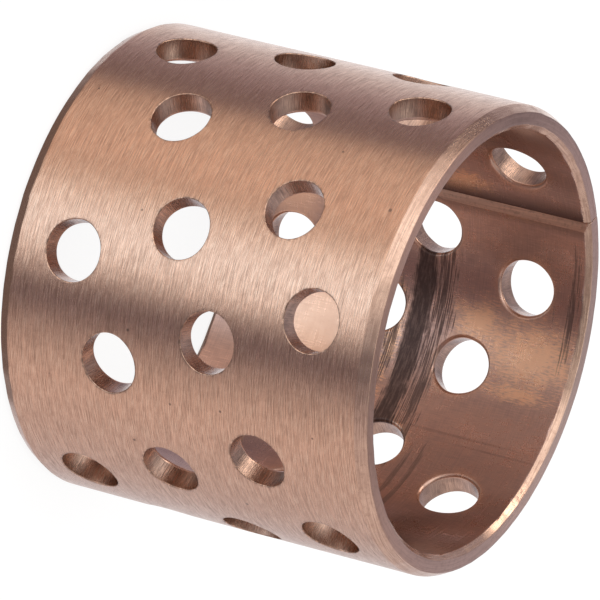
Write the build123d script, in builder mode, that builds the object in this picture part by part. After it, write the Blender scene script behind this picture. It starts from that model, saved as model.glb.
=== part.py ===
"""A wrapped bronze bushing: a bronze strip, punched through with staggered rows of grease holes, then
rolled into a sleeve that closes on a butt seam. One solid, standing on one end, with +Z along its bore."""

import os
from math import cos, degrees, radians, sin

from build123d import *

# Sleeve (mm)
bore_diameter = 35.0
outside_diameter = 39.0
length = 34.0
outer_chamfer_axial = 0.9  # a long lead-in, for pressing the sleeve into its housing
outer_chamfer_radial = 0.5
inner_chamfer = 0.45

# Butt seam, where the two ends of the strip meet
seam_angle = 130.5  # degrees about +Z, from +X
seam_gap = 0.12
seam_groove_depth = 0.35  # both ends of the strip are bevelled on the bore side
seam_wide_bevel = 0.8  # at the end that the strip's rows of holes run out to
seam_narrow_bevel = 0.15  # at the end that they start from

# Grease holes, punched round in the flat strip
hole_diameter = 4.9
hole_rows = 6
first_row = 6.0  # from the bottom end to the middle of the first row
row_pitch = 4.45  # along the sleeve's axis
hole_pitch = 64.15  # degrees between neighbours in a row
row_stagger = 26.5  # degrees from one row to the next
pair_lag = 1.7  # degrees by which every second row falls short of the stagger
first_hole = 144.1  # degrees, for the first row
seam_land = 10.0  # degrees kept clear of hole centres on each side of the seam
hole_edge_chamfer = 0.25  # on the bore side, where the punch drew the metal in
cutter_overrun = 1.0  # how far a hole's cutter passes each face of the wall

# Worked out from these
bore_radius = bore_diameter / 2
outer_radius = outside_diameter / 2
middle_radius = (bore_radius + outer_radius) / 2
gap_angle = degrees(seam_gap / middle_radius)
strip_start = seam_angle + gap_angle / 2
strip_end = seam_angle + 360 - gap_angle / 2


def direction(angle):
    """Unit vector that points away from the axis at an angle about +Z."""
    return Vector(cos(radians(angle)), sin(radians(angle)), 0)


def hole_angles(row):
    """Angles of the holes in one row, from one side of the seam round to the other."""
    angle = first_hole + row * row_stagger - (row % 2) * pair_lag
    while angle - hole_pitch >= seam_angle + seam_land:
        angle -= hole_pitch
    while angle <= seam_angle + 360 - seam_land:
        yield angle
        angle += hole_pitch


def hole_plane(angle, height, radius):
    """Plane square to the sleeve's radius, with its X along the axis."""
    outward = direction(angle)
    return Plane(outward * radius + Vector(0, 0, height), x_dir=(0, 0, 1), z_dir=outward)


with BuildPart() as wrapped_bushing:
    # The strip's section, swept from one end of the strip round to the other
    with BuildSketch(Plane((0, 0, 0), x_dir=direction(strip_start), z_dir=direction(strip_start - 90))):
        with BuildLine():
            Polyline(
                (bore_radius, inner_chamfer),
                (bore_radius + inner_chamfer, 0),
                (outer_radius - outer_chamfer_radial, 0),
                (outer_radius, outer_chamfer_axial),
                (outer_radius, length - outer_chamfer_axial),
                (outer_radius - outer_chamfer_radial, length),
                (bore_radius + inner_chamfer, length),
                (bore_radius, length - inner_chamfer),
                close=True,
            )
        make_face()
    revolve(axis=Axis.Z, revolution_arc=strip_end - strip_start)

    # Groove that the two bevelled strip ends leave along the bore
    with BuildSketch(Plane((0, 0, 0), x_dir=direction(seam_angle), z_dir=(0, 0, 1))):
        with BuildLine():
            Polyline(
                (bore_radius - seam_groove_depth, -2 * seam_wide_bevel),
                (bore_radius + seam_groove_depth, 0),
                (bore_radius - seam_groove_depth, 2 * seam_narrow_bevel),
                close=True,
            )
        make_face()
    extrude(amount=length, mode=Mode.SUBTRACT)

    # Grease holes: rolling the strip leaves them wider outside its middle and narrower inside
    for row in range(hole_rows):
        for angle in hole_angles(row):
            for radius in (bore_radius - cutter_overrun, outer_radius + cutter_overrun):
                with BuildSketch(hole_plane(angle, first_row + row * row_pitch, radius)):
                    Ellipse(hole_diameter / 2, hole_diameter / 2 * radius / middle_radius)
            loft(ruled=True, mode=Mode.SUBTRACT)

    # Drawn-in edges of the holes, on the bore side
    bore_wall = faces().filter_by(GeomType.CYLINDER).sort_by(lambda face: face.radius)[0]
    hole_edges = [edge for outline in bore_wall.inner_wires() for edge in outline.edges()]
    chamfer(hole_edges, length=hole_edge_chamfer)

wrapped_bushing.part.label = "wrapped_bushing"
os.makedirs("parts", exist_ok=True)
export_step(wrapped_bushing.part, "parts/wrapped_bushing.step")
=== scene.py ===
from math import ceil, cos, pi, radians, sin, tau

import bpy
import numpy as np
from mathutils import Matrix, Vector
from mathutils.geometry import delaunay_2d_cdt


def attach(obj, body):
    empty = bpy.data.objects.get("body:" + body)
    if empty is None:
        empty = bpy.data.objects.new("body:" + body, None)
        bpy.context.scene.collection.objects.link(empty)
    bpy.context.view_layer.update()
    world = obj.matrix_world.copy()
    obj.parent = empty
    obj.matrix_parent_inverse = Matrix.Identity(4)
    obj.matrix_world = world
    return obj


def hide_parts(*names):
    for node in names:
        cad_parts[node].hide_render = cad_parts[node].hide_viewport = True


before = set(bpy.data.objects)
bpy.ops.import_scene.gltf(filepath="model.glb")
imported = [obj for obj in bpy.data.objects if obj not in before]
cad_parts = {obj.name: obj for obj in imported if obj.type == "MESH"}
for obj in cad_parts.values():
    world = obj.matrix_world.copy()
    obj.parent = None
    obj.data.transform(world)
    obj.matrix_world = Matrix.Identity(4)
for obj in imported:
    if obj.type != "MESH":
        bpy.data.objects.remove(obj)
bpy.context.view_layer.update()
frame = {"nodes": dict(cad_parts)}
scene = bpy.context.scene
scene.view_settings.view_transform = "Standard"
mm = 0.001
print("frame loaded:", ", ".join(frame["nodes"]))


# camera
cameraSetup = {
    "aim": (0.000254, -0.000087, 0.016832),  # metres, just off the middle of the sleeve
    "distance": 0.64979,
    "elevation": 27.39,  # degrees above the floor, looking along +Y
    "roll": 104.09,  # turns the picture, so the bore's axis runs across it
    "lens": 479.65,
}


def placeCamera(setup):
    up, tilt = radians(setup["elevation"]), radians(setup["roll"])
    back = Vector((0, -cos(up), sin(up)))
    level, rise = Vector((1, 0, 0)), Vector((0, sin(up), cos(up)))
    right = level * cos(tilt) + rise * sin(tilt)
    top = rise * cos(tilt) - level * sin(tilt)
    lens = bpy.data.cameras.new("benchCamera")
    lens.lens, lens.sensor_width = setup["lens"], 36
    lens.clip_start, lens.clip_end = 0.05, 10
    holder = bpy.data.objects.new("benchCamera", lens)
    scene.collection.objects.link(holder)
    turn = Matrix((right, top, back)).transposed().to_4x4()
    holder.matrix_world = Matrix.Translation(Vector(setup["aim"]) + back * setup["distance"]) @ turn
    scene.camera = holder


placeCamera(cameraSetup)
print("camera placed")


# node helpers
def addNode(tree, kind, place, feeds=None, **settings):
    node = tree.nodes.new(kind)
    node.location = place
    for name, value in settings.items():
        setattr(node, name, value)
    for name, value in (feeds or {}).items():
        if isinstance(value, bpy.types.NodeSocket):
            tree.links.new(value, node.inputs[name])
        else:
            node.inputs[name].default_value = value
    return node


def maths(tree, operation, place, *terms, clamp=False):
    feeds = dict(enumerate(terms))
    return addNode(tree, "ShaderNodeMath", place, feeds, operation=operation, use_clamp=clamp).outputs[0]


def vectorMaths(tree, operation, place, *terms):
    node = addNode(tree, "ShaderNodeVectorMath", place, dict(enumerate(terms)), operation=operation)
    return node.outputs["Value" if operation in ("LENGTH", "DOT_PRODUCT") else "Vector"]


def remap(tree, place, value, low, high, toLow=0.0, toHigh=1.0, soft=False):
    # low becomes toLow and high becomes toHigh, and whatever lies past them is held there
    feeds = {"Value": value, "From Min": low, "From Max": high, "To Min": toLow, "To Max": toHigh}
    curve = "SMOOTHSTEP" if soft else "LINEAR"
    return addNode(tree, "ShaderNodeMapRange", place, feeds, interpolation_type=curve).outputs[0]


def noisePattern(tree, place, chart, scale, detail, roughness=0.5, dimensions="2D"):
    feeds = {"Vector": chart, "Scale": scale, "Detail": detail, "Roughness": roughness}
    return addNode(tree, "ShaderNodeTexNoise", place, feeds, noise_dimensions=dimensions).outputs[0]


def turnedChart(tree, place, chart, angle):
    feeds = {"Vector": chart, "Angle": angle}
    return addNode(tree, "ShaderNodeVectorRotate", place, feeds, rotation_type="Z_AXIS").outputs[0]


def axes(tree, place, vector):
    return addNode(tree, "ShaderNodeSeparateXYZ", place, {"Vector": vector}).outputs


def blendColours(tree, place, factor, first, second, mode="MIX"):
    node = addNode(tree, "ShaderNodeMix", place, data_type="RGBA", blend_type=mode)
    for socket, value in ((0, factor), (6, first), (7, second)):
        if isinstance(value, bpy.types.NodeSocket):
            tree.links.new(value, node.inputs[socket])
        else:
            node.inputs[socket].default_value = value if socket == 0 else (*value, 1)
    return node.outputs[2]


def compassTurn(tree, place, split):
    # 0 to 1 once round, starting from +X
    left, top = place
    angle = maths(tree, "ARCTAN2", (left, top), split["Y"], split["X"])
    return maths(tree, "FRACT", (left + 300, top), maths(tree, "DIVIDE", (left + 150, top), angle, tau))


def compassRamp(tree, place, turn, stops):
    # stops are (degrees, colour), and the last one runs on into the first
    node = addNode(tree, "ShaderNodeValToRGB", place, {"Fac": turn})
    band = node.color_ramp
    for i, (angle, colour) in enumerate([*stops, (360, stops[0][1])]):
        stop = band.elements[i] if i < 2 else band.elements.new(angle / 360)
        stop.position = angle / 360
        stop.color = (*colour, 1)
    return node.outputs["Color"]


def startGroup(name, inputs, result):
    # a number makes a float input, a tuple or None a vector one
    group = bpy.data.node_groups.new(name, "ShaderNodeTree")
    for label, value in inputs.items():
        kind = "NodeSocketFloat" if isinstance(value, float) else "NodeSocketVector"
        socket = group.interface.new_socket(label, in_out="INPUT", socket_type=kind)
        if value is not None:
            socket.default_value = value
    group.interface.new_socket(result, in_out="OUTPUT", socket_type="NodeSocketFloat")
    start = addNode(group, "NodeGroupInput", (-900, 0))
    end = addNode(group, "NodeGroupOutput", (900, 0))
    return group, start.outputs, end.inputs[result]


def useGroup(tree, group, place, feeds):
    return addNode(tree, "ShaderNodeGroup", place, feeds, node_tree=group).outputs[0]


# floor and studio
floorSetup = {
    "radius": 0.6,  # metres
    "sides": 96,
    "drop": 0.00002,  # a hair below the sleeve
    "glow": 0.86,
    "paint": 0.17,
    "bounce": 0.8,  # its paint for the light that falls on the sleeve
}

studio = {  # brightness round the object by compass angle, for what the metal mirrors
    "low": [  # from the floor's side
        (0, (0.68, 0.62, 0.66)), (36, (0.60, 0.58, 0.65)), (60, (0.66, 0.68, 0.77)),
        (78, (0.86, 0.90, 0.97)), (90, (0.98, 0.97, 0.98)), (108, (1.10, 1.18, 1.28)),
        (132, (0.70, 0.71, 0.80)), (150, (0.40, 0.36, 0.45)), (168, (0.22, 0.18, 0.22)),
        (183, (0.20, 0.165, 0.195)), (191, (0.66, 0.54, 0.49)), (228, (0.77, 0.60, 0.54)),
        (237, (0.52, 0.42, 0.38)), (244, (1.00, 0.95, 0.96)), (260, (1.30, 1.48, 1.74)),
        (276, (1.26, 1.36, 1.54)), (284, (0.98, 0.93, 0.97)), (288, (0.20, 0.175, 0.22)),
        (307, (0.16, 0.14, 0.185)), (311, (0.48, 0.43, 0.47)), (328, (0.60, 0.54, 0.56)),
        (340, (0.78, 0.69, 0.71)),
    ],
    "middle": [  # level with the object and a little above
        (0, (0.66, 0.60, 0.62)), (40, (0.58, 0.54, 0.58)), (90, (0.46, 0.43, 0.48)),
        (150, (0.30, 0.28, 0.34)), (172, (0.20, 0.18, 0.22)), (186, (0.34, 0.30, 0.32)),
        (198, (1.00, 0.95, 0.98)), (240, (1.35, 1.34, 1.40)), (256, (1.00, 0.96, 0.98)),
        (278, (0.52, 0.50, 0.54)), (289, (0.17, 0.15, 0.18)), (306, (0.16, 0.14, 0.17)),
        (318, (0.48, 0.42, 0.45)),
    ],
    "high": [
        (0, (0.46, 0.44, 0.47)), (60, (0.38, 0.36, 0.40)), (93, (0.30, 0.28, 0.32)),
        (150, (0.34, 0.33, 0.37)), (165, (0.50, 0.49, 0.53)), (174, (1.15, 1.15, 1.22)),
        (236, (1.40, 1.40, 1.48)), (250, (0.80, 0.78, 0.82)), (258, (0.34, 0.32, 0.36)),
        (275, (0.16, 0.15, 0.18)), (318, (0.17, 0.16, 0.19)), (340, (0.36, 0.34, 0.37)),
    ],
    "zenith": (0.92, 0.92, 0.94),
    "underfoot": (0.16, 0.13, 0.13),
    "layers": [  # laid over "low" in turn, each from the height where it starts to where it is full
        ("middle", -0.3, 0.05),
        ("high", 0.55, 0.72),
        ("zenith", 0.86, 0.97),
        ("underfoot", -0.66, -0.85),
    ],
    "softbox": {"turn": 170, "rise": 36, "edge": 15, "core": 9, "colour": (3.2, 2.9, 2.7)},
    "lampWatts": 0.35,
    "lampSize": 0.25,
    "lampPlace": (-0.05, -0.04, 0.4),
}


def roomColour(tree, where, setup):
    # where is the direction that is looked in, of length 1, so its Z is the height in the room
    split = axes(tree, (-1000, 0), where)
    turn = compassTurn(tree, (-800, 100), split)
    room = compassRamp(tree, (-300, 300), turn, setup["low"])
    for k, (name, start, full) in enumerate(setup["layers"]):
        layer = setup[name]
        if isinstance(layer, list):
            layer = compassRamp(tree, (-300, 50 - 200 * k), turn, layer)
        share = remap(tree, (-300, -300 - 100 * k), split["Z"], start, full, soft=True)
        room = blendColours(tree, (100 * k, 200), share, room, layer)
    box = setup["softbox"]
    turned, raised = radians(box["turn"]), radians(box["rise"])
    ahead = (cos(turned) * cos(raised), sin(turned) * cos(raised), sin(raised))
    facing = vectorMaths(tree, "DOT_PRODUCT", (100, 500), where, ahead)
    edge, core = cos(radians(box["edge"])), cos(radians(box["core"]))
    lit = remap(tree, (250, 500), facing, edge, core, soft=True)
    return blendColours(tree, (450, 300), lit, room, box["colour"])


def lightStudio(setup):
    world = bpy.data.worlds.new("softStudio")
    scene.world = world
    world.use_nodes = True
    tree = world.node_tree
    tree.nodes.clear()
    where = addNode(tree, "ShaderNodeTexCoord", (-1200, 0)).outputs["Generated"]
    room = roomColour(tree, where, setup)
    rays = addNode(tree, "ShaderNodeLightPath", (0, -200)).outputs
    plain = maths(tree, "MAXIMUM", (250, -200), rays["Is Camera Ray"], rays["Is Transmission Ray"])
    unlit = maths(tree, "SUBTRACT", (250, -350), 1.0, rays["Is Glossy Ray"])
    plain = maths(tree, "MAXIMUM", (400, -250), plain, unlit)
    colour = blendColours(tree, (600, 100), plain, room, (1, 1, 1))
    glow = addNode(tree, "ShaderNodeBackground", (800, 100), {"Color": colour, "Strength": 1.0})
    addNode(tree, "ShaderNodeOutputWorld", (1000, 100), {"Surface": glow.outputs[0]})


def hangLamp(setup):
    area = bpy.data.lights.new("overheadSoftbox", "AREA")
    area.energy, area.size = setup["lampWatts"], setup["lampSize"]
    lamp = bpy.data.objects.new("overheadSoftbox", area)
    lamp.location = setup["lampPlace"]
    lamp.rotation_euler = (-lamp.location).to_track_quat("-Z", "Y").to_euler()
    lamp.visible_glossy = False
    scene.collection.objects.link(lamp)


def paintFloor(setup):
    paint = bpy.data.materials.new("palePaper")
    paint.use_nodes = True
    tree = paint.node_tree
    tree.nodes.clear()
    matt = addNode(tree, "ShaderNodeBsdfDiffuse", (0, 0), {"Color": (setup["paint"],) * 3 + (1,)})
    glow = addNode(tree, "ShaderNodeEmission", (0, -150), {"Color": (1, 1, 1, 1), "Strength": setup["glow"]})
    rays = addNode(tree, "ShaderNodeLightPath", (-400, 250)).outputs
    sharp = maths(tree, "MAXIMUM", (-350, 100), rays["Is Glossy Ray"], rays["Is Transmission Ray"])
    seen = maths(tree, "MAXIMUM", (-200, 250), rays["Is Camera Ray"], sharp)
    lit = addNode(tree, "ShaderNodeAddShader", (200, -50), {0: matt.outputs[0], 1: glow.outputs[0]})
    white = addNode(tree, "ShaderNodeBsdfDiffuse", (200, -250), {"Color": (setup["bounce"],) * 3 + (1,)})
    kept = addNode(tree, "ShaderNodeMixShader", (400, 0), {0: seen, 1: white.outputs[0], 2: lit.outputs[0]})
    below = addNode(tree, "ShaderNodeNewGeometry", (200, 300)).outputs["Backfacing"]
    clear = addNode(tree, "ShaderNodeBsdfTransparent", (400, -200))
    both = addNode(tree, "ShaderNodeMixShader", (600, 0), {0: below, 1: kept.outputs[0], 2: clear.outputs[0]})
    addNode(tree, "ShaderNodeOutputMaterial", (800, 0), {"Surface": both.outputs[0]})
    return paint


def layFloor(setup):
    turns = [tau * i / setup["sides"] for i in range(setup["sides"])]
    points = [(setup["radius"] * cos(turn), setup["radius"] * sin(turn), -setup["drop"]) for turn in turns]
    mesh = bpy.data.meshes.new("paleFloor")
    mesh.from_pydata(points, [], [list(range(setup["sides"]))])
    mesh.materials.append(paintFloor(setup))
    floor = bpy.data.objects.new("paleFloor", mesh)
    scene.collection.objects.link(floor)
    floor.visible_glossy = False  # the metal mirrors the studio, not the bench top


lightStudio(studio)
hangLamp(studio)
layFloor(floorSetup)
print("studio lit")


# shared effects
def makeBrushedGrain():
    # fine lines that run along the strip, from coordinates in millimetres
    inputs = {"Coordinates": None, "Line Width": 0.15, "Line Length": 3.0, "Slant": 0.0, "Contrast": 1.0}
    group, given, result = startGroup("brushedGrain", inputs, "Grain")
    split = axes(group, (-700, 0), given["Coordinates"])
    along = maths(group, "DIVIDE", (-400, 150), split["X"], given["Line Length"])
    lean = maths(group, "MULTIPLY", (-550, -50), split["X"], given["Slant"])
    leaning = maths(group, "ADD", (-400, -50), split["Y"], lean)
    across = maths(group, "DIVIDE", (-250, -50), leaning, given["Line Width"])
    feeds = {"X": along, "Y": across, "Z": given["Slant"]}
    place = addNode(group, "ShaderNodeCombineXYZ", (-100, 50), feeds).outputs[0]
    lines = noisePattern(group, (100, 50), place, scale=1.0, detail=2.0, roughness=0.6, dimensions="3D")
    centred = maths(group, "SUBTRACT", (300, 50), lines, 0.5)
    pushed = maths(group, "MULTIPLY", (450, 50), centred, given["Contrast"])
    group.links.new(maths(group, "ADD", (600, 50), pushed, 0.5, clamp=True), result)
    return group


def makeRubMark():
    # a rubbed band round the wall at one height, ragged along both edges and broken into lines
    inputs = {
        "Coordinates": None, "Height": 17.0, "Half Width": 1.0,
        "From": 0.0, "To": 10.0, "Fade": 2.0, "Gaps": 0.4,
    }
    group, given, result = startGroup("rubMark", inputs, "Mask")
    split = axes(group, (-700, 0), given["Coordinates"])
    past = maths(group, "SUBTRACT", (-550, 200), split["X"], given["From"])
    left = maths(group, "SUBTRACT", (-550, 50), given["To"], split["X"])
    nearest = maths(group, "MINIMUM", (-400, 150), past, left)
    opening = maths(group, "DIVIDE", (-250, 150), nearest, given["Fade"], clamp=True)
    sway = noisePattern(group, (-550, -250), given["Coordinates"], scale=0.35, detail=3.0, roughness=0.7)
    centred = maths(group, "SUBTRACT", (-480, -250), sway, 0.5)
    swayed = maths(group, "MULTIPLY_ADD", (-400, -250), centred, given["Half Width"], split["Y"])
    above = maths(group, "SUBTRACT", (-180, -250), swayed, given["Height"])
    off = maths(group, "ABSOLUTE", (-100, -250), above)
    outward = maths(group, "DIVIDE", (50, -250), off, given["Half Width"])
    inside = maths(group, "SUBTRACT", (150, -250), 1.0, outward, clamp=True)
    stretched = vectorMaths(group, "MULTIPLY", (-300, -500), given["Coordinates"], (0.22, 7.0, 1.0))
    lines = noisePattern(group, (-100, -500), stretched, scale=1.0, detail=4.0, roughness=0.65)
    bare = remap(group, (50, -500), lines, 0.66, 0.36)
    acrossIt = maths(group, "POWER", (220, -150), inside, 0.5)
    alongIt = maths(group, "POWER", (220, 150), opening, 0.6)
    body = maths(group, "MULTIPLY", (300, 0), acrossIt, alongIt)
    missing = maths(group, "MULTIPLY", (300, -400), bare, given["Gaps"])
    level = maths(group, "SUBTRACT", (450, -100), body, missing)
    group.links.new(remap(group, (600, -100), level, 0.08, 0.5, soft=True), result)
    return group


def makePits():
    # scattered pin holes and specks, few of the cells hold one
    inputs = {"Coordinates": None, "Spacing": 3.0, "Size": 0.12, "Share": 0.3}
    group, given, result = startGroup("pits", inputs, "Mask")
    scale = maths(group, "DIVIDE", (-600, -150), 1.0, given["Spacing"])
    feeds = {"Vector": given["Coordinates"], "Scale": scale, "Randomness": 0.9}
    cells = addNode(group, "ShaderNodeTexVoronoi", (-400, 0), feeds, voronoi_dimensions="2D").outputs
    chance = addNode(group, "ShaderNodeSeparateColor", (-200, -150), {"Color": cells["Color"]}).outputs
    kept = maths(group, "LESS_THAN", (0, -150), chance["Red"], given["Share"])
    size = maths(group, "MULTIPLY", (-200, 150), given["Size"], scale)
    reach = maths(group, "MULTIPLY", (0, 150), size, maths(group, "ADD", (-200, 300), chance["Green"], 0.4))
    near = maths(group, "DIVIDE", (150, 50), cells["Distance"], reach)
    dot = remap(group, (300, 0), near, 1.2, 0.5, soft=True)
    group.links.new(maths(group, "MULTIPLY", (500, 0), dot, kept), result)
    return group


def makeSmudge():
    # a soft ragged patch, broken into grains
    inputs = {"Coordinates": None, "Centre": (0, 0, 0), "Reach": (1, 1, 1), "Ragged": 0.5, "Grains": 0.5}
    group, given, result = startGroup("smudge", inputs, "Mask")
    offset = vectorMaths(group, "SUBTRACT", (-650, 200), given["Coordinates"], given["Centre"])
    scaled = vectorMaths(group, "DIVIDE", (-500, 200), offset, given["Reach"])
    away = vectorMaths(group, "LENGTH", (-350, 200), scaled)
    edge = noisePattern(group, (-500, -50), given["Coordinates"], scale=0.7, detail=4.0, roughness=0.6)
    stretched = vectorMaths(group, "MULTIPLY", (-650, -300), given["Coordinates"], (7.0, 1.6, 1.0))
    grain = noisePattern(group, (-500, -300), stretched, scale=1.0, detail=3.0, roughness=0.6)
    swing = maths(group, "SUBTRACT", (-300, -50), edge, 0.5)
    torn = maths(group, "MULTIPLY", (-150, -50), swing, given["Ragged"])
    speckled = maths(group, "SUBTRACT", (-300, -300), grain, 0.5)
    broken = maths(group, "MULTIPLY", (-150, -300), speckled, given["Grains"])
    within = maths(group, "SUBTRACT", (0, 100), 1.0, away)
    level = maths(group, "ADD", (150, 0), within, maths(group, "ADD", (0, -100), torn, broken))
    group.links.new(remap(group, (350, 0), level, 0.05, 0.85, soft=True), result)
    return group


brushedGrain, rubMark, pits, smudge = makeBrushedGrain(), makeRubMark(), makePits(), makeSmudge()
print("effects built")


def grainLines(tree, place, chart, width, length, slant, contrast):
    # width and length in millimetres
    feeds = {
        "Coordinates": chart, "Line Width": width, "Line Length": length, "Slant": slant, "Contrast": contrast,
    }
    return useGroup(tree, brushedGrain, place, feeds)


# bronze sleeve
sleeve = {  # millimetres and degrees
    "boreRadius": 17.5,
    "outerRadius": 19.5,
    "length": 34.0,
    "outerChamfer": (0.9, 0.5),  # along the bore, across it
    "innerChamfer": 0.45,
    "seamAngle": 130.5,
    "seamGap": 0.12,
    "grooveDepth": 0.35,
    "wideBevel": 0.8,
    "narrowBevel": 0.15,
    "holeDiameter": 4.9,
    "holeRows": 6,
    "firstRow": 6.0,
    "rowPitch": 4.45,
    "holePitch": 64.15,
    "rowStagger": 26.5,
    "pairLag": 1.7,
    "firstHole": 144.1,
    "seamLand": 10.0,
    "outsideRim": 0.09,  # how far the punched edges are rounded over
    "boreRim": 0.33,
    "holeSides": 64,
    "holeRings": (0, 0.02, 0.05, 0.09, 0.18, 0.33, 0.45),  # rings of points, by their distance from the edge
    "ringMargin": 0.22,  # clear of the last ring before the grid starts
    "wobble": 0.007,
    "wobbleWaves": (2, 3, 4, 5, 7, 9),
    "gridStep": 0.6,
    "endLines": (0, 0.04, 0.15, 0.3, 0.42, 0.47, 0.65, 0.84, 0.9, 0.96, 1.2),
    "firstSeamLines": (0, 0.04, 0.1, 0.16, 0.3, 0.55),
    "lastSeamLines": (0, 0.04, 0.15, 0.35, 0.6, 0.8, 0.9, 1.2),
    "holeSteps": 8,  # down the wall of a hole
    "edgeSteps": 5,
    "holeShift": 20.0,  # moves the scoring along from one hole's wall to the next
    "wearReach": 0.3,
    "dents": 0.016,  # shallow unevenness of the rolled strip
    "dentShift": 1.2,  # keeps it inside the outer radius
    "waves": (14, 26, 9),  # how many, the longest and the shortest
    "ripples": (24, 5, 1.2),
    "chatter": (24, 1.6, 0.5),
    "outerRagged": (0.03, 0.01),  # how far ripples and chatter move a chamfer's edge
    "innerRagged": (0.05, 0.025),
    "outerDeepest": 1.08,  # times the chamfer across the bore
    "bevelCurve": 1.7,
    "seed": 7,
}

# the finish a face wears, by its place in the list of finishes
outsideKind, boreKind, holeKind, endKind, seamKind, chamferKind = range(6)


def sumOfWaves(seed, count, longest, shortest):
    # a smooth random height over the strip, from seeded waves
    dice = np.random.default_rng(seed)
    lengths = dice.uniform(shortest, longest, count)
    turns = dice.uniform(0, tau, count)
    starts = dice.uniform(0, tau, count)

    def height(u, z):
        total = 0
        for reach, turn, start in zip(lengths, turns, starts):
            total = total + np.sin((u * cos(turn) + z * sin(turn)) * tau / reach + start)
        return total / count ** 0.5

    return height


def roundedOver(t, softness=0.05):
    return (t + np.sqrt(t * t + softness * softness)) / 2  # 0 before the edge, t past it


def oneLong(vectors):
    return vectors / np.linalg.norm(vectors, axis=-1, keepdims=True)


class StripShape:
    # the sleeve unrolled: u runs round it from the seam, z up it, both in millimetres
    def __init__(self, made):
        self.made = made
        self.middle = (made["boreRadius"] + made["outerRadius"]) / 2
        gap = made["seamGap"] / made["outerRadius"]
        self.start = radians(made["seamAngle"]) + gap / 2
        self.width = (tau - gap) * self.middle
        self.length = made["length"]
        self.wave = sumOfWaves(made["seed"], *made["waves"])
        self.ripple = sumOfWaves(made["seed"] + 1, *made["ripples"])
        self.chatter = sumOfWaves(made["seed"] + 2, *made["chatter"])

    def along(self, angle):
        return radians((angle - self.made["seamAngle"]) % 360) * self.middle

    def holes(self):
        made, found = self.made, []
        low = made["seamAngle"] + made["seamLand"]
        high = made["seamAngle"] + 360 - made["seamLand"]
        for row in range(made["holeRows"]):
            height = made["firstRow"] + row * made["rowPitch"]
            angle = made["firstHole"] + row * made["rowStagger"] - (row % 2) * made["pairLag"]
            angle += ceil((low - angle) / made["holePitch"]) * made["holePitch"]
            while angle <= high:
                found.append(((radians(angle) - self.start) * self.middle, height))
                angle += made["holePitch"]
        return np.array(found)

    def ragged(self, u, z, shares):
        # the place where a chamfer starts, near 1, uneven round the sleeve
        rippled, chattered = shares
        return 1 + rippled * self.ripple(u, 0 * z) + chattered * self.chatter(u, 0 * z)

    def outside(self, u, z):
        made = self.made
        axial, radial = made["outerChamfer"]
        end = np.minimum(z, self.length - z)
        drop = radial * roundedOver(self.ragged(u, z, made["outerRagged"]) - end / axial)
        drop = np.minimum(drop, radial * made["outerDeepest"])
        return made["outerRadius"] - drop + made["dents"] * (self.wave(u, z) - made["dentShift"])

    def bore(self, u, z):
        # its unevenness is read further along the waves, so that it isn't the outside's
        made = self.made
        end = np.minimum(z, self.length - z)
        uneven = self.ragged(u + 50, z, made["innerRagged"])
        lead = made["innerChamfer"] * roundedOver(uneven - end / made["innerChamfer"])
        wide = made["grooveDepth"] * roundedOver(1 - (self.width - u) / made["wideBevel"]) ** made["bevelCurve"]
        narrow = made["grooveDepth"] * roundedOver(1 - u / made["narrowBevel"])
        cut = np.maximum(np.maximum(lead, wide), narrow)
        return made["boreRadius"] + cut + 0.5 * made["dents"] * self.wave(u + 31, z)

    def point(self, u, z, radius):
        angle = self.start + u / self.middle
        return np.stack([radius * np.cos(angle), radius * np.sin(angle), z + 0 * u], -1)

    def slopeNormal(self, surface, u, z, side, step=0.004):
        along = self.point(u + step, z, surface(u + step, z)) - self.point(u - step, z, surface(u - step, z))
        up = self.point(u, z + step, surface(u, z + step)) - self.point(u, z - step, surface(u, z - step))
        return oneLong(np.cross(along, up) * side)


class Skin:
    # the points and faces of the sleeve: outside points, bore points, then those of the walls between
    def __init__(self, sides):
        self.places, self.normals, self.wear = ([side[k] for side in sides] for k in range(3))
        self.count = len(self.places[0])
        self.total = 2 * self.count
        self.faces, self.kinds, self.corners = [], [], []  # corners are places on the strip, face by face

    def addFaces(self, group, kind, uv):
        self.faces.extend(group.tolist())
        self.kinds.extend([kind] * len(group) if isinstance(kind, int) else kind.tolist())
        self.corners.extend(uv.reshape(-1, 2).tolist())

    def addWall(self, loop, facing, kind, uvStart, steps, outward=False):
        # a wall from the outside down to the bore along a loop of points
        top, bottom = self.places[0][loop], self.places[1][loop]
        levels = [loop]
        for k in range(1, steps):
            share = k / steps
            self.places.append(top * (1 - share) + bottom * share)
            self.normals.append(facing)
            self.wear.append(np.zeros(len(loop)))
            levels.append(np.arange(self.total, self.total + len(loop)))
            self.total += len(loop)
        levels.append(loop + self.count)
        after = np.roll(np.arange(len(loop)), -1)
        run = uvStart + np.concatenate([[0], np.cumsum(np.linalg.norm(top[after] - top, axis=1))])
        deep = np.linalg.norm(top - bottom, axis=1)
        for k in range(steps):
            upper, lower = levels[k], levels[k + 1]
            group = np.stack([upper, upper[after], lower[after], lower], -1)
            uv = np.zeros((len(loop), 4, 2))
            uv[:, 0, 0] = uv[:, 3, 0] = run[:-1]
            uv[:, 1, 0] = uv[:, 2, 0] = run[1:]
            uv[:, 0, 1], uv[:, 1, 1] = deep * k / steps, deep[after] * k / steps
            uv[:, 3, 1], uv[:, 2, 1] = deep * (k + 1) / steps, deep[after] * (k + 1) / steps
            self.addFaces(group[:, ::-1] if outward else group, kind, uv[:, ::-1] if outward else uv)


def gridLines(total, step, near, far):
    # close lines by both ends, even ones between
    first, last = near[-1], total - far[-1]
    inner = np.linspace(first, last, max(2, round((last - first) / step)) + 1)[1:-1]
    return np.concatenate([near, inner, (total - np.array(far))[::-1]])


def toNearestHole(u, z, centres):
    return np.min(np.hypot(u[:, None] - centres[:, 0], z[:, None] - centres[:, 1]), 1)


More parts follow.
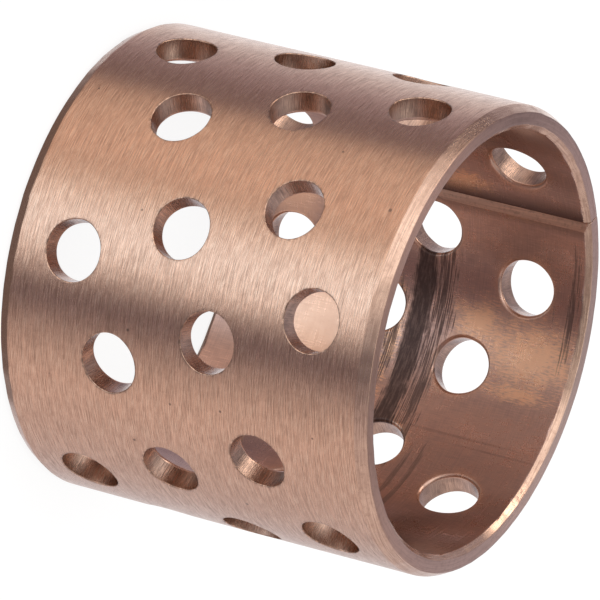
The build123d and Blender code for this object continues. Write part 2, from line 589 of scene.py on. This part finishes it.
def punchRings(strip, centres):
    # rings of points round each hole, from its edge outwards
    made = strip.made
    sides, half = made["holeSides"], made["holeDiameter"] / 2
    turn = np.arange(sides) * tau / sides
    dice = np.random.default_rng(made["seed"] + 5)
    ringU, ringZ, ringOff, ringHole = [], [], [], []
    for index, (u0, z0) in enumerate(centres):
        wobble = 0
        for k in made["wobbleWaves"]:
            wobble = wobble + dice.normal(0, made["wobble"]) * np.cos(k * turn + dice.uniform(0, tau))
        edgeU = strip.middle * np.arctan(half / strip.middle * np.cos(turn)) * (1 + wobble / half)
        edgeZ = half * np.sin(turn) * (1 + wobble / half)
        for offset in made["holeRings"]:
            ringU.append(u0 + edgeU * (1 + offset / half))
            ringZ.append(z0 + edgeZ * (1 + offset / half))
            ringOff.append(np.full(sides, float(offset)))
            ringHole.append(np.full(sides, index))
    return [np.concatenate(part) for part in (ringU, ringZ, ringOff, ringHole)]


def sheetFaces(flatU, flatZ, kept, centres, made):
    # one flat triangulation between the holes, used for both sides; kept are the points it may use
    sides = made["holeSides"]
    spots = [Vector((flatU[i], flatZ[i])) for i in kept]
    loops = [(n * sides + i, n * sides + (i + 1) % sides) for n in range(len(centres)) for i in range(sides)]
    _, _, triangles, sources, _, _ = delaunay_2d_cdt(spots, loops, [], 0, 1e-7, True)
    back = [kept[source[0]] for source in sources]
    sheet = np.array([[back[i] for i in face] for face in triangles])
    inHole = made["holeDiameter"] / 2 + made["holeRings"][-1] - 0.02  # the last ring isn't quite round
    sheet = sheet[toNearestHole(flatU[sheet].mean(1), flatZ[sheet].mean(1), centres) > inHole]
    u, z = flatU[sheet].T, flatZ[sheet].T
    twiceArea = (u[1] - u[0]) * (z[2] - z[0]) - (z[1] - z[0]) * (u[2] - u[0])
    sheet[twiceArea < 0] = sheet[twiceArea < 0][:, ::-1]
    return sheet[np.abs(twiceArea) > 1e-9]


def ringFaces(holeCount, ringCount, sides):
    # four-sided faces between one ring of points and the next
    i = np.arange(sides)
    j = (i + 1) % sides
    bands = []
    for n in range(holeCount):
        for k in range(ringCount - 1):
            near = (n * ringCount + k) * sides
            far = near + sides
            bands.append(np.stack([near + i, far + i, far + j, near + j], -1))
    return np.concatenate(bands)


def roundedSide(strip, surface, side, rim, flat, offset, toCentre):
    # one side's places, normals and wear, with the punched edges rounded over
    base = surface(*flat)
    normal = strip.slopeNormal(surface, *flat, side)
    lean = np.arccos(np.clip(1 - offset / rim, 0, 1))
    inward = oneLong(toCentre - normal * np.sum(toCentre * normal, -1, keepdims=True))
    leaning = normal * np.sin(lean)[:, None] + inward * np.cos(lean)[:, None]
    places = strip.point(*flat, base - side * rim * (1 - np.sin(lean)))
    wear = np.clip(1 - (offset - rim) / strip.made["wearReach"], 0, 1)
    return places, leaning, wear


def coverSides(skin, strip, group, flatU, flatZ):
    made = strip.made
    middleZ = flatZ[group].mean(1)
    toEnd = np.minimum(middleZ, strip.length - middleZ)
    flatUV = np.stack([flatU, flatZ], -1)
    outsideKinds = np.where(toEnd < made["outerChamfer"][0], chamferKind, outsideKind)
    skin.addFaces(group, outsideKinds, flatUV[group])
    middleU = flatU[group].mean(1)
    toSeam = np.minimum(middleU / made["narrowBevel"], (strip.width - middleU) / made["wideBevel"])
    boreKinds = np.where(toSeam < 1, seamKind, boreKind)
    boreKinds = np.where(toEnd < made["innerChamfer"], chamferKind, boreKinds)
    flipped = group[:, ::-1]
    skin.addFaces(flipped + skin.count, boreKinds, flatUV[flipped])


def closeSheet(skin, strip, uLines, zLines, pointAt):
    # the two ends and the two sides of the seam, in one loop round the strip
    edge = [(u, 0.0) for u in uLines]
    edge += [(strip.width, z) for z in zLines[1:]]
    edge += [(u, strip.length) for u in uLines[::-1][1:]]
    edge += [(0.0, z) for z in zLines[::-1][1:-1]]
    loop = np.array([pointAt[round(u, 6), round(z, 6)] for u, z in edge])
    u, z = np.array(edge).T
    angle = strip.start + u / strip.middle
    facing = np.zeros((len(loop), 3))
    facing[z == 0, 2] = -1
    facing[z == strip.length, 2] = 1
    alongSeam = (u == 0) | (u == strip.width)
    seamSide = np.where(u == 0, -1, 1)
    facing[alongSeam, 0] += (-np.sin(angle) * seamSide)[alongSeam]
    facing[alongSeam, 1] += (np.cos(angle) * seamSide)[alongSeam]
    facing = oneLong(facing)
    middleZ = (z + np.roll(z, -1)) / 2
    wallKinds = np.where((middleZ == 0) | (middleZ == strip.length), endKind, seamKind)
    skin.addWall(loop, facing, wallKinds, 0.0, strip.made["edgeSteps"], outward=True)
    for layer in (0, 1):  # soft corners between the faces and the walls
        skin.normals[layer][loop] = oneLong(skin.normals[layer][loop] + facing)


def buildSkin(strip):
    made = strip.made
    centres = strip.holes()
    sides, ringCount = made["holeSides"], len(made["holeRings"])
    ringU, ringZ, ringOff, ringHole = punchRings(strip, centres)
    uLines = gridLines(strip.width, made["gridStep"], made["firstSeamLines"], made["lastSeamLines"])
    zLines = gridLines(strip.length, made["gridStep"], made["endLines"], made["endLines"])
    gridU, gridZ = (part.ravel() for part in np.meshgrid(uLines, zLines))
    clear = made["holeDiameter"] / 2 + made["holeRings"][-1] + made["ringMargin"]
    between = toNearestHole(gridU, gridZ, centres) > clear
    gridU, gridZ = gridU[between], gridZ[between]

    flatU, flatZ = np.concatenate([ringU, gridU]), np.concatenate([ringZ, gridZ])
    lastRings = [((n + 1) * ringCount - 1) * sides + np.arange(sides) for n in range(len(centres))]
    kept = np.concatenate([*lastRings, np.arange(len(ringU), len(flatU))])
    sheet = sheetFaces(flatU, flatZ, kept, centres, made)
    rings = ringFaces(len(centres), ringCount, sides)

    offset = np.concatenate([ringOff, np.full(len(gridU), np.inf)])
    holeOf = np.concatenate([ringHole, np.zeros(len(gridU), int)])
    toCentre = strip.point(*centres[holeOf].T, strip.middle) - strip.point(flatU, flatZ, strip.middle)
    skin = Skin([
        roundedSide(strip, strip.outside, 1, made["outsideRim"], (flatU, flatZ), offset, toCentre),
        roundedSide(strip, strip.bore, -1, made["boreRim"], (flatU, flatZ), offset, toCentre),
    ])
    for group in (sheet, rings):
        coverSides(skin, strip, group, flatU, flatZ)
    for n in range(len(centres)):
        loop = n * ringCount * sides + np.arange(sides)
        skin.addWall(loop, skin.normals[0][loop], holeKind, made["holeShift"] * n, made["holeSteps"])
    gridPoints = enumerate(zip(gridU, gridZ), len(ringU))
    closeSheet(skin, strip, uLines, zLines, {(round(u, 6), round(z, 6)): i for i, (u, z) in gridPoints})
    return skin


def makeSleeve(strip, materials):
    skin = buildSkin(strip)
    mesh = bpy.data.meshes.new("bronzeSleeve")
    mesh.from_pydata(np.concatenate(skin.places) * mm, [], skin.faces)
    for material in materials:
        mesh.materials.append(material)
    mesh.polygons.foreach_set("material_index", skin.kinds)
    mesh.polygons.foreach_set("use_smooth", [True] * len(skin.faces))
    chart = mesh.uv_layers.new(name="strip")
    chart.uv.foreach_set("vector", np.array(skin.corners, np.float32).ravel())
    edges = mesh.attributes.new("rimWear", "FLOAT", "POINT")
    edges.data.foreach_set("value", np.concatenate(skin.wear).astype(np.float32))
    mesh.validate()
    mesh.normals_split_custom_set_from_vertices(np.concatenate(skin.normals).astype(np.float32))
    mesh.update()
    piece = bpy.data.objects.new("bronzeSleeve", mesh)
    scene.collection.objects.link(piece)
    print("sleeve:", skin.total, "points,", len(skin.faces), "faces")
    return piece


# bronze finishes
outsideFinish = {
    "bright": (0.95, 0.605, 0.42), "dark": (0.48, 0.295, 0.205), "dull": (0.30, 0.20, 0.15),
    "scratched": (1.0, 0.72, 0.52),
    "roughness": (0.36, 0.19),  # where it is dark, where it is bright
    "anisotropy": 0.84, "film": 0.0, "filmIndex": 1.5, "bump": 1.0, "bumpDepth": 0.0000035,
    "fine": {"width": 0.034, "length": 2.4, "slant": 0.03, "contrast": 4.4},
    "crossed": {"width": 0.051, "length": 4.32, "slant": -0.06, "contrast": 4.4},
    "scratches": {"width": 0.085, "length": 1.5, "slant": 0.10, "contrast": 9.0},
    "specks": {"Spacing": 4.6, "Size": 0.12, "Share": 0.22},
    "cloudiness": 0.6, "scratchDepth": 0.45, "chipDepth": 0.7,
}
boreFinish = {
    "bright": (0.74, 0.485, 0.38), "dark": (0.44, 0.29, 0.24), "clean": (0.98, 0.62, 0.42),
    "glowing": (1.0, 0.62, 0.385), "shadow": (0.13, 0.075, 0.06), "soot": (0.13, 0.088, 0.076),
    "roughness": (0.41, 0.22), "sootRoughness": 0.2,
    "lineDepth": 0.4, "stainDepth": 0.5, "rimDepth": 0.45,
    "anisotropy": 0.75, "film": 0.35, "filmIndex": 1.7, "bump": 0.7, "bumpDepth": 0.000006,
    "fine": {"width": 0.10, "length": 3.0, "slant": 0.0, "contrast": 2.6},
    "crossing": {"width": 0.12, "length": 1.6, "slant": 0.02, "contrast": 2.6},
    "marks": [  # height, half width, from, to (degrees), fade, gaps, depth
        (18.9, 1.25, 57, 114, 0.8, 0.35, 1.0),
        (20.8, 1.4, 60, 114, 0.8, 0.90, 0.85),
        (21.2, 0.60, 44, 68, 3.0, 0.5, 0.8),
        (22.7, 0.34, 24, 62, 5.0, 0.6, 0.55),
        (23.8, 0.40, 18, 64, 5.0, 0.6, 0.55),
        (16.9, 0.8, 70, 104, 3.0, 0.8, 0.9),
        (32.7, 0.6, 84, 126, 3.0, 0.95, 0.7),
        (31.0, 0.22, 98, 106, 2.0, 1.3, 0.6),
    ],
    # painted reflections: bright patches standing in for light bounced round inside the bore
    "glows": [  # angle, height, reach round, reach up, raggedness, graininess
        (89, 30.0, 4.6, 7.0, 0.9, 1.3),
        (95, 24.5, 2.8, 3.6, 0.9, 1.3),
        (78.5, 29.5, 1.2, 4.4, 0.8, 1.6),
        (135, 22.5, 2.2, 3.4, 1.0, 1.2),
        (130, 27.0, 1.4, 7.0, 0.8, 1.0),
        (86, 17.0, 5.5, 0.9, 1.4, 2.6),
    ],
    "cleaned": [
        (85, 10.0, 7.5, 6.0, 0.4, 0.2),
        (118, 6.0, 5.0, 4.5, 0.4, 0.2),
    ],
    "shades": [
        (118, 28.0, 5.0, 6.0, 0.6, 0.2),
        (62.5, 26.0, 0.22, 9.0, 0.3, 0.3),
        (60, 30.0, 0.16, 6.0, 0.3, 0.3),
    ],
    "shadeDepth": 0.3,
    "seamShades": [  # along the strip: darkest place, where it ends, depth
        (0.1, 2.4, 1.0),
        (-0.8, -2.0, 0.55),  # below 0, it is counted back from the far edge
    ],
}
holeFinish = {
    "bright": (0.82, 0.54, 0.39), "dark": (0.24, 0.15, 0.115), "roughness": (0.36, 0.18),
    "anisotropy": 0.35, "film": 0.4, "filmIndex": 1.6, "bump": 1.0, "bumpDepth": 0.00001,
    "scored": {"width": 0.07, "length": 1.6, "slant": 0.05, "contrast": 2.4},
}
faceFinish = {
    "bright": (0.76, 0.55, 0.46), "dark": (0.56, 0.39, 0.32), "roughness": (0.42, 0.26),
    "anisotropy": 0.85, "film": 0.3, "filmIndex": 1.5, "bump": 0.4, "bumpDepth": 0.000008,
    "fine": {"width": 0.09, "length": 5.0, "slant": 0.02, "contrast": 2.4},
    "nicks": 0.4, "turn": 0.0, "burrs": None,
    "paintedLightAndShade": [  # painted light and shade round the face by angle, standing in for what the metal mirrors
        (0, (0.94, 0.88, 0.84)), (60, (1.28, 1.31, 1.30)), (98, (1.04, 1.06, 1.08)),
        (134, (1.12, 1.08, 1.09)), (192, (0.60, 0.53, 0.50)), (240, (1.12, 0.98, 0.90)),
        (284, (0.70, 0.58, 0.51)), (324, (1.00, 0.88, 0.79)),
    ],
}
seamFinish = {
    "bright": (0.80, 0.53, 0.38), "dark": (0.52, 0.33, 0.24), "roughness": (0.48, 0.32),
    "anisotropy": 0.2, "film": 0.6, "filmIndex": 1.6, "bump": 0.2, "bumpDepth": 0.000008,
    "fine": {"width": 0.25, "length": 8.0, "slant": 0.02, "contrast": 2.4},
    "nicks": 0.5, "turn": pi / 2, "burrs": None,
    "paintedLightAndShade": [(0, (1, 1, 1))],
}
chamferFinish = {
    "bright": (0.98, 0.68, 0.50), "dark": (0.62, 0.40, 0.29), "roughness": (0.36, 0.20),
    "anisotropy": 0.5, "film": 0.0, "filmIndex": 1.5, "bump": 0.5, "bumpDepth": 0.000008,
    "fine": {"width": 0.10, "length": 3.0, "slant": 0.02, "contrast": 2.4},
    "nicks": 0.35, "turn": 0.0, "burrHeight": 9.0,  # times the depth of the tool marks
    # painted shade round the chamfers by angle
    "paintedLightAndShade": [
        (0, (1, 1, 1)), (96, (0.92, 0.90, 0.88)), (118, (0.86, 0.84, 0.82)), (140, (1, 1, 1)),
        (200, (1, 1, 1)), (208, (0.74, 0.70, 0.68)), (220, (0.80, 0.77, 0.75)), (228, (1, 1, 1)),
    ],
    "burrs": [  # how much of the grit shows, by angle
        (0, (0, 0, 0)), (44, (0, 0, 0)), (49, (0.6, 0.6, 0.6)), (56, (0, 0, 0)),
        (126, (0, 0, 0)), (134, (0.7, 0.7, 0.7)), (146, (0, 0, 0)),
        (204, (0, 0, 0)), (208, (1, 1, 1)), (223, (1, 1, 1)), (226, (0, 0, 0)),
    ],
}


def startMetal(name, finish, grainTurn):
    # grainTurn is the share of a full turn between the strip's length and the grain of the shine
    material = bpy.data.materials.new(name)
    material.use_nodes = True
    tree = material.node_tree
    tree.nodes.clear()
    chart = addNode(tree, "ShaderNodeUVMap", (-1600, 0), uv_map="strip").outputs[0]
    way = addNode(tree, "ShaderNodeTangent", (300, -600), direction_type="UV_MAP", uv_map="strip").outputs[0]
    feeds = {
        "Metallic": 1.0,
        "Anisotropic": finish["anisotropy"],
        "Anisotropic Rotation": grainTurn,
        "Tangent": way,
        "Coat Weight": finish["film"],
        "Coat Roughness": 0.3,
        "Coat IOR": finish["filmIndex"],
    }
    metal = addNode(tree, "ShaderNodeBsdfPrincipled", (600, 0), feeds)
    addNode(tree, "ShaderNodeOutputMaterial", (900, 0), {"Surface": metal.outputs[0]})
    return material, tree, chart, metal.inputs


def varied(tree, place, mask, low, high):
    return remap(tree, place, mask, 0.0, 1.0, low, high)


def raiseGrain(tree, metal, finish, height):
    feeds = {"Strength": finish["bump"], "Distance": finish["bumpDepth"], "Height": height}
    bump = addNode(tree, "ShaderNodeBump", (250, -300), feeds)
    tree.links.new(bump.outputs[0], metal["Normal"])


def rimWear(tree, place):
    return addNode(tree, "ShaderNodeAttribute", place, attribute_name="rimWear").outputs["Fac"]


def strongest(tree, left, top, masks):
    whole = masks[0]
    for k, mask in enumerate(masks[1:]):
        whole = maths(tree, "MAXIMUM", (left, top - 200 * k), whole, mask)
    return whole


def makeOutsideBronze(finish):
    material, tree, chart, metal = startMetal("brushedBronze", finish, 0.25)
    fine = grainLines(tree, (-1200, 300), chart, **finish["fine"])
    crossed = grainLines(tree, (-1200, 50), chart, **finish["crossed"])
    deep = grainLines(tree, (-1200, 550), chart, **finish["scratches"])
    cloudy = noisePattern(tree, (-1200, -250), chart, scale=1.1, detail=5.0, roughness=0.7)
    lines = maths(tree, "MULTIPLY", (-900, 200), maths(tree, "ADD", (-1000, 200), fine, crossed), 0.5)
    unevenness = maths(tree, "MULTIPLY_ADD", (-800, 0), cloudy, finish["cloudiness"], -finish["cloudiness"] / 2)
    tone = maths(tree, "ADD", (-700, 200), lines, unevenness, clamp=True)
    deepest = remap(tree, (-950, 550), deep, 0.84, 1.0)
    scratches = maths(tree, "MULTIPLY", (-400, 550), deepest, finish["scratchDepth"])

    # dull specks, and ragged dull chips along the punched edges
    specks = useGroup(tree, pits, (-1200, -500), {"Coordinates": chart, **finish["specks"]})
    frayed = noisePattern(tree, (-1200, -950), chart, scale=2.6, detail=3.0)
    frayed = remap(tree, (-1000, -900), frayed, 0.42, 0.62)
    worn = maths(tree, "POWER", (-1000, -750), rimWear(tree, (-1200, -750)), 3.0)
    chips = maths(tree, "MULTIPLY", (-850, -800), frayed, worn)
    chips = maths(tree, "MULTIPLY", (-700, -800), chips, finish["chipDepth"])
    dull = maths(tree, "MAXIMUM", (-700, -600), specks, chips)

    colour = blendColours(tree, (-400, 300), tone, finish["dark"], finish["bright"])
    colour = blendColours(tree, (-280, 300), scratches, colour, finish["scratched"])
    colour = blendColours(tree, (-150, 300), dull, colour, finish["dull"])
    tree.links.new(colour, metal["Base Color"])
    tree.links.new(varied(tree, (0, 50), tone, *finish["roughness"]), metal["Roughness"])
    raiseGrain(tree, metal, finish, maths(tree, "SUBTRACT", (0, -300), lines, dull))
    return material


def rubMarks(tree, chart, marks, strip):
    rubbed = []
    for k, (height, halfWidth, first, last, fade, gaps, depth) in enumerate(marks):
        feeds = {
            "Coordinates": chart, "Height": height, "Half Width": halfWidth,
            "From": strip.along(first), "To": strip.along(last), "Fade": fade, "Gaps": gaps,
        }
        mask = useGroup(tree, rubMark, (-1200, -300 - 250 * k), feeds)
        rubbed.append(maths(tree, "MULTIPLY", (-1000, -300 - 250 * k), mask, depth))
    return strongest(tree, -900, -300, rubbed)


def smudges(tree, top, chart, patches, strip):
    masks = []
    for k, (angle, height, wide, tall, ragged, grains) in enumerate(patches):
        feeds = {
            "Coordinates": chart, "Centre": (strip.along(angle), height, 0), "Reach": (wide, tall, 1),
            "Ragged": ragged, "Grains": grains,
        }
        masks.append(useGroup(tree, smudge, (-1500, top - 250 * k), feeds))
    return strongest(tree, -700, top, masks)


def makeBoreBronze(finish, strip):
    material, tree, chart, metal = startMetal("wornBore", finish, 0.25)
    fine = grainLines(tree, (-1200, 300), chart, **finish["fine"])
    upright = turnedChart(tree, (-1400, 500), chart, pi / 2)
    crossing = grainLines(tree, (-1200, 550), upright, **finish["crossing"])
    stain = noisePattern(tree, (-1200, 0), chart, scale=0.3, detail=4.0, roughness=0.6)
    spread = remap(tree, (-1050, 0), stain, 0.25, 0.75)
    faint = maths(tree, "MULTIPLY", (-1100, 400), fine, finish["lineDepth"])
    hatch = maths(tree, "MULTIPLY_ADD", (-1000, 400), crossing, finish["lineDepth"], faint)
    lowered = maths(tree, "SUBTRACT", (-950, 300), hatch, 0.12)
    tone = maths(tree, "MULTIPLY_ADD", (-900, 200), spread, finish["stainDepth"], lowered, clamp=True)

    soot = rubMarks(tree, chart, finish["marks"], strip)
    glow = smudges(tree, -300, chart, finish["glows"], strip)
    cleaned = smudges(tree, -1800, chart, finish["cleaned"], strip)
    shade = smudges(tree, -2300, chart, finish["shades"], strip)
    shades = [maths(tree, "MULTIPLY", (-350, 500), shade, finish["shadeDepth"])]
    turnWay = axes(tree, (-700, 900), chart)["X"]
    for k, (darkest, end, depth) in enumerate(finish["seamShades"]):
        darkest, end = (place % strip.width for place in (darkest, end))
        shades.append(remap(tree, (-500, 900 + 250 * k), turnWay, end, darkest, 0.0, depth, soft=True))
    shade = strongest(tree, -350, 700, shades)
    rims = maths(tree, "MULTIPLY", (-250, 650), rimWear(tree, (-400, 600)), spread)
    rims = maths(tree, "MULTIPLY", (-100, 600), rims, finish["rimDepth"])
    drawn = vectorMaths(tree, "MULTIPLY", (-250, 800), chart, (0.7, 4.0, 1.0))
    patchy = noisePattern(tree, (-100, 800), drawn, scale=1.0, detail=5.0, roughness=0.7)
    thin = maths(tree, "MULTIPLY", (150, 600), soot, remap(tree, (50, 800), patchy, 0.45, 0.75, 1.0, 0.65))

    colour = blendColours(tree, (-400, 300), tone, finish["dark"], finish["bright"])
    colour = blendColours(tree, (-320, 300), cleaned, colour, finish["clean"])
    # painted reflected light where the glows lie
    colour = blendColours(tree, (-250, 300), glow, colour, finish["glowing"])
    colour = blendColours(tree, (-100, 300), shade, colour, finish["shadow"])
    colour = blendColours(tree, (50, 300), rims, colour, finish["glowing"])
    colour = blendColours(tree, (200, 300), thin, colour, finish["soot"])
    tree.links.new(colour, metal["Base Color"])
    bare = strongest(tree, 0, -150, [soot, glow, cleaned])
    tree.links.new(varied(tree, (100, -150), bare, finish["film"], 0.25 * finish["film"]), metal["Coat Weight"])
    shine = varied(tree, (-150, 0), tone, *finish["roughness"])
    sooty = maths(tree, "MULTIPLY", (0, -100), soot, finish["sootRoughness"])
    tree.links.new(maths(tree, "ADD", (100, 0), shine, sooty), metal["Roughness"])
    raiseGrain(tree, metal, finish, maths(tree, "SUBTRACT", (100, -300), hatch, soot))
    return material


def makeHoleBronze(finish):
    material, tree, chart, metal = startMetal("punchedWall", finish, 0.0)
    upright = turnedChart(tree, (-1400, 0), chart, pi / 2)
    scored = grainLines(tree, (-1200, 200), upright, **finish["scored"])
    patchy = noisePattern(tree, (-1200, -100), chart, scale=0.9, detail=4.0)
    lines = maths(tree, "MULTIPLY", (-1000, 200), scored, 0.6)
    unevenness = maths(tree, "MULTIPLY_ADD", (-1000, 0), patchy, 1.0, -0.25)
    tone = maths(tree, "ADD", (-900, 100), lines, unevenness, clamp=True)
    tree.links.new(blendColours(tree, (-400, 300), tone, finish["dark"], finish["bright"]), metal["Base Color"])
    tree.links.new(varied(tree, (-150, 0), scored, *finish["roughness"]), metal["Roughness"])
    raiseGrain(tree, metal, finish, scored)
    return material


def makeEdgeBronze(name, finish):
    material, tree, chart, metal = startMetal(name, finish, 0.25)
    laid = turnedChart(tree, (-1400, 300), chart, finish["turn"])
    fine = grainLines(tree, (-1200, 300), laid, **finish["fine"])
    speckle = noisePattern(tree, (-1200, 0), chart, scale=2.2, detail=5.0, roughness=0.7)
    nicks = remap(tree, (-1050, 0), speckle, 0.5, 0.66, 0.0, finish["nicks"])
    tone = maths(tree, "SUBTRACT", (-900, 200), fine, nicks, clamp=True)
    place = addNode(tree, "ShaderNodeTexCoord", (-1600, 700)).outputs["Object"]
    turn = compassTurn(tree, (-1200, 700), axes(tree, (-1400, 700), place))
    # painted light and shade, by angle round the sleeve, multiplied into the colour
    paintedLightTint = compassRamp(tree, (-800, 700), turn, finish["paintedLightAndShade"])
    colour = blendColours(tree, (-400, 300), tone, finish["dark"], finish["bright"])
    colour = blendColours(tree, (-200, 300), 1.0, colour, paintedLightTint, mode="MULTIPLY")
    tree.links.new(colour, metal["Base Color"])
    tree.links.new(varied(tree, (-150, 0), tone, *finish["roughness"]), metal["Roughness"])
    height = tone
    if finish["burrs"]:
        grit = noisePattern(tree, (-1200, -600), chart, scale=6.5, detail=1.0)
        grit = remap(tree, (-1000, -600), grit, 0.60, 0.74)
        shown = compassRamp(tree, (-800, -600), turn, finish["burrs"])
        burr = maths(tree, "MULTIPLY", (-500, -600), grit, shown)
        height = maths(tree, "MULTIPLY_ADD", (-300, -500), burr, finish["burrHeight"], tone)
    raiseGrain(tree, metal, finish, height)
    return material


strip = StripShape(sleeve)
finishes = [
    makeOutsideBronze(outsideFinish),
    makeBoreBronze(boreFinish, strip),
    makeHoleBronze(holeFinish),
    makeEdgeBronze("turnedEnds", faceFinish),
    makeEdgeBronze("shearedSeam", seamFinish),
    makeEdgeBronze("brokenEdges", chamferFinish),
]
print("finishes made")
bronzeSleeve = makeSleeve(strip, finishes)
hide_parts("wrapped_bushing")
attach(bronzeSleeve, "root")
print("sleeve in place")
